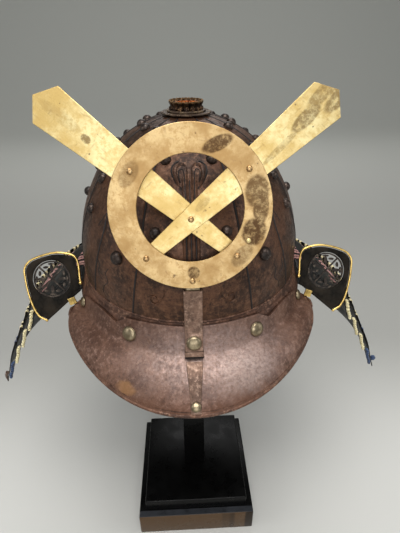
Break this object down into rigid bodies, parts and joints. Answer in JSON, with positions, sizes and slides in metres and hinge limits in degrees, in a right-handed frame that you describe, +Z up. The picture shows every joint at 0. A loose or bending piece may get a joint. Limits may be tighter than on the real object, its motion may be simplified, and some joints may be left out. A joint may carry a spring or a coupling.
{
  "type": "samurai kabuto helmet on a plain display stand",
  "caption": "Riveted iron kabuto with a crossed-blade ring crest, riveted visor, side wings and laced neck guard, on a plain stepped black post stand.",
  "frame": {"origin": "on the floor under the middle of the stand's base", "axes": "+Z up, the helmet faces -Y, +X to the right of someone who looks at its front"},
  "size_m": [0.431, 0.3847, 0.5888],
  "materials": {
    "stand_black": "satin black paint with rubbed edges",
    "pad_felt": "black felt",
    "bowl_iron": "old dark brown patinated iron, matt to satin",
    "russet_iron": "russet patinated iron, satin",
    "crest_gilt": "aged pale gilt brass, satin with brown tarnish",
    "rivet_brass": "antique brass, satin",
    "crown_copper": "aged copper",
    "gilt_rim": "gilt edge binding, polished",
    "openwork_iron": "dark pierced metal, satin",
    "wing_leather": "dark stencilled leather over metal, matt",
    "lame_lacquer": "black lacquer, satin",
    "lacing_silk": "silk lacing, faded cream and indigo"
  },
  "bodies": {
    "root": {"bowl_plate_back": "bowl_iron", "bowl_plate_front": "bowl_iron", "bowl_plate_left_1": "bowl_iron", "bowl_plate_left_2": "bowl_iron", "bowl_plate_left_3": "bowl_iron", "bowl_plate_left_4": "bowl_iron", "bowl_plate_left_5": "bowl_iron", "bowl_plate_right_1": "bowl_iron", "bowl_plate_right_2": "bowl_iron", "bowl_plate_right_3": "bowl_iron", "bowl_plate_right_4": "bowl_iron", "bowl_plate_right_5": "bowl_iron", "crest_blade_left": "crest_gilt", "crest_blade_right": "crest_gilt", "crest_holder": "russet_iron", "crest_ring": "crest_gilt", "crest_rivet_bottom": "rivet_brass", "crest_rivet_crossing": "rivet_brass", "crest_rivet_left_lower": "rivet_brass", "crest_rivet_left_upper": "rivet_brass", "crest_rivet_right_lower": "rivet_brass", "crest_rivet_right_upper": "rivet_brass", "crest_tang": "crest_gilt", "fukigaeshi_left": "wing_leather", "fukigaeshi_openwork_left": "openwork_iron", "fukigaeshi_openwork_right": "openwork_iron", "fukigaeshi_right": "wing_leather", "fukigaeshi_rim_left": "gilt_rim", "fukigaeshi_rim_right": "gilt_rim", "head_pad": "pad_felt", "holder_rivet": "rivet_brass", "koshimaki_band": "bowl_iron", "shikoro_lacing_1": "lacing_silk", "shikoro_lacing_2": "lacing_silk", "shikoro_lacing_3": "lacing_silk", "shikoro_lacing_4": "lacing_silk", "shikoro_lame_1_left": "lame_lacquer", "shikoro_lame_1_right": "lame_lacquer", "shikoro_lame_2_left": "lame_lacquer", "shikoro_lame_2_right": "lame_lacquer", "shikoro_lame_3_left": "lame_lacquer", "shikoro_lame_3_right": "lame_lacquer", "shikoro_lame_4_left": "lame_lacquer", "shikoro_lame_4_right": "lame_lacquer", "shikoro_lame_5_left": "lame_lacquer", "shikoro_lame_5_right": "lame_lacquer", "stand_lower_step": "stand_black", "stand_post": "stand_black", "stand_upper_step": "stand_black", "tehen_petal_ring": "bowl_iron", "tehen_plate": "bowl_iron", "tehen_sleeve": "crown_copper", "tehen_washer": "bowl_iron", "tongue_rivet": "rivet_brass", "visor": "russet_iron", "visor_end_rivet_left": "rivet_brass", "visor_end_rivet_right": "rivet_brass", "visor_rivet_left": "rivet_brass", "visor_rivet_right": "rivet_brass", "visor_tongue": "russet_iron"}
  },
  "joints": []
}
